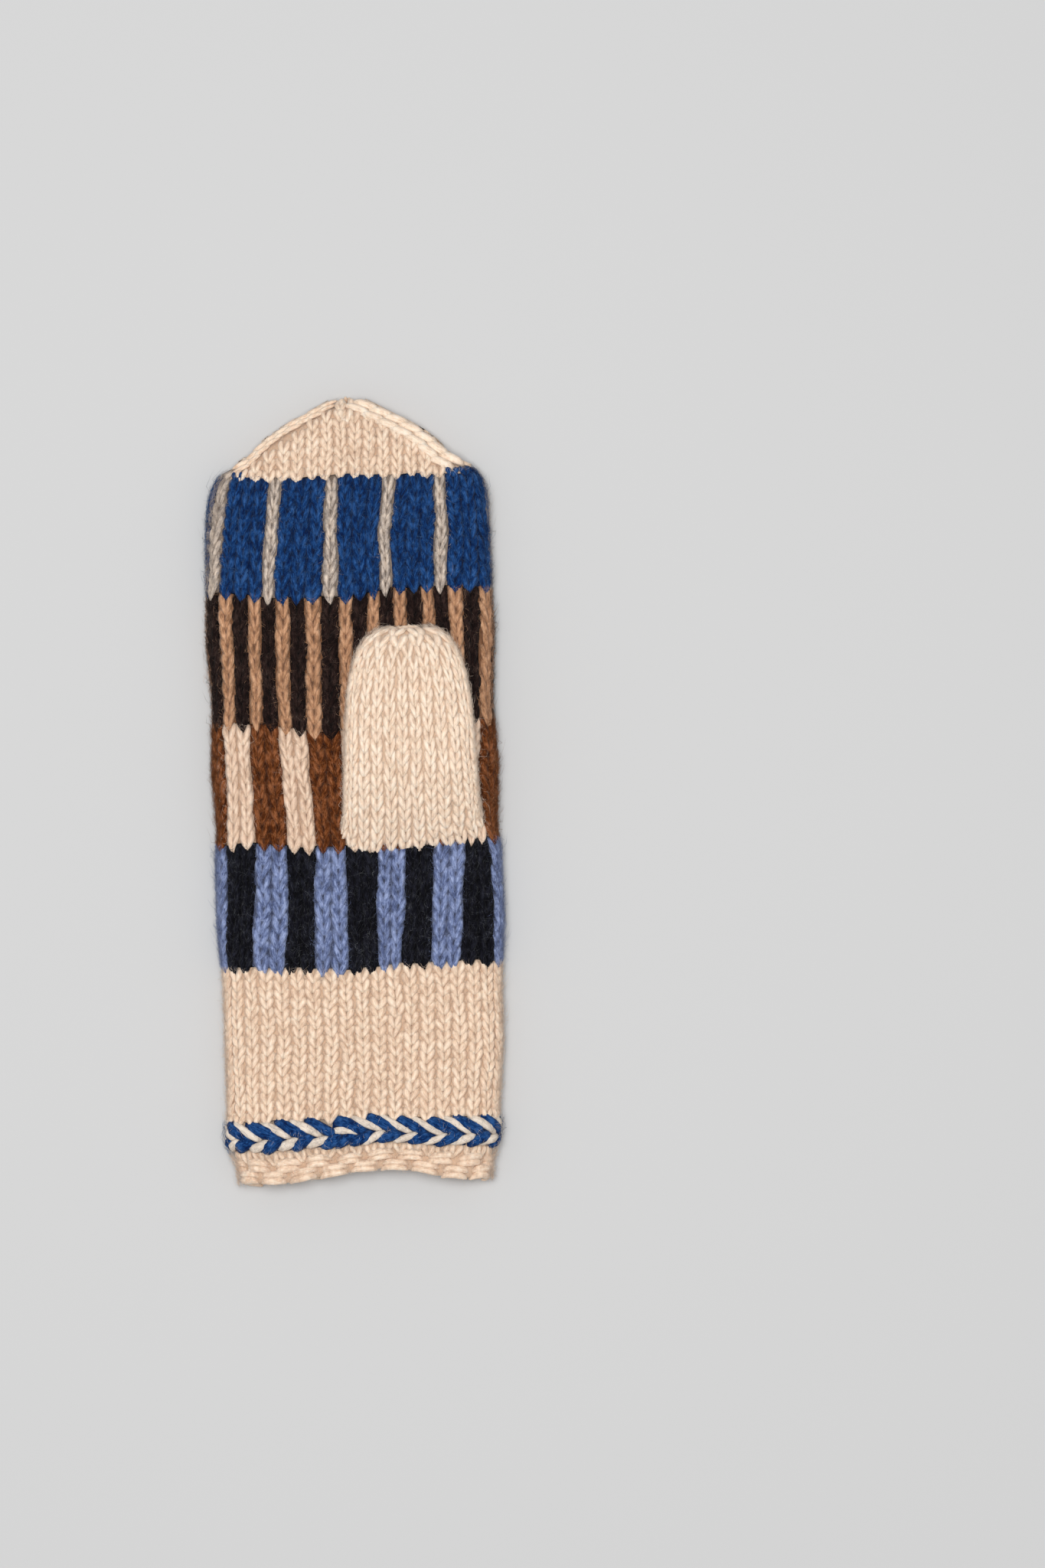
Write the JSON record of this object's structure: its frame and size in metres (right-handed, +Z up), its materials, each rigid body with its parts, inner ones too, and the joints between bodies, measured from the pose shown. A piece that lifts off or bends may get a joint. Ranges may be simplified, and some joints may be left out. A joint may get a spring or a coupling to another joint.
{
  "type": "knitted wool mitten",
  "caption": "Hand-knitted striped wool mitten lying palm up, with a flat thumb, a plain cuff, a raised braid round the cuff and an open mouth.",
  "frame": {"origin": "centre of the mitten's box in X and Y, on the surface that its back lies on", "axes": "+Y from the hem to the fingertips, +X across the palm towards the thumb's side, +Z up out of the palm"},
  "size_m": [0.1026, 0.2738, 0.0295],
  "materials": {
    "hem_wool": "matt cream wool, purl bumps",
    "braid_wool": "matt royal blue and cream wool braid",
    "cuff_wool": "matt cream wool stockinette",
    "wrist_band_wool": "matt navy wool with periwinkle columns",
    "palm_band_wool": "matt brown wool with cream columns",
    "knuckle_band_wool": "matt tan wool with black columns",
    "finger_band_wool": "matt royal blue wool with cream columns",
    "shoulder_band_wool": "matt royal blue wool with cream columns",
    "tip_wool": "matt cream wool stockinette with slanted decreases",
    "thumb_base_wool": "matt cream wool stockinette",
    "thumb_wool": "matt cream wool stockinette"
  },
  "bodies": {
    "root": {"hem": "hem_wool", "braid": "braid_wool", "cuff": "cuff_wool", "wrist_band": "wrist_band_wool", "palm_band": "palm_band_wool", "knuckle_band": "knuckle_band_wool", "finger_band": "finger_band_wool", "shoulder_band": "shoulder_band_wool", "tip": "tip_wool", "thumb_base": "thumb_base_wool", "thumb": "thumb_wool"}
  },
  "joints": []
}
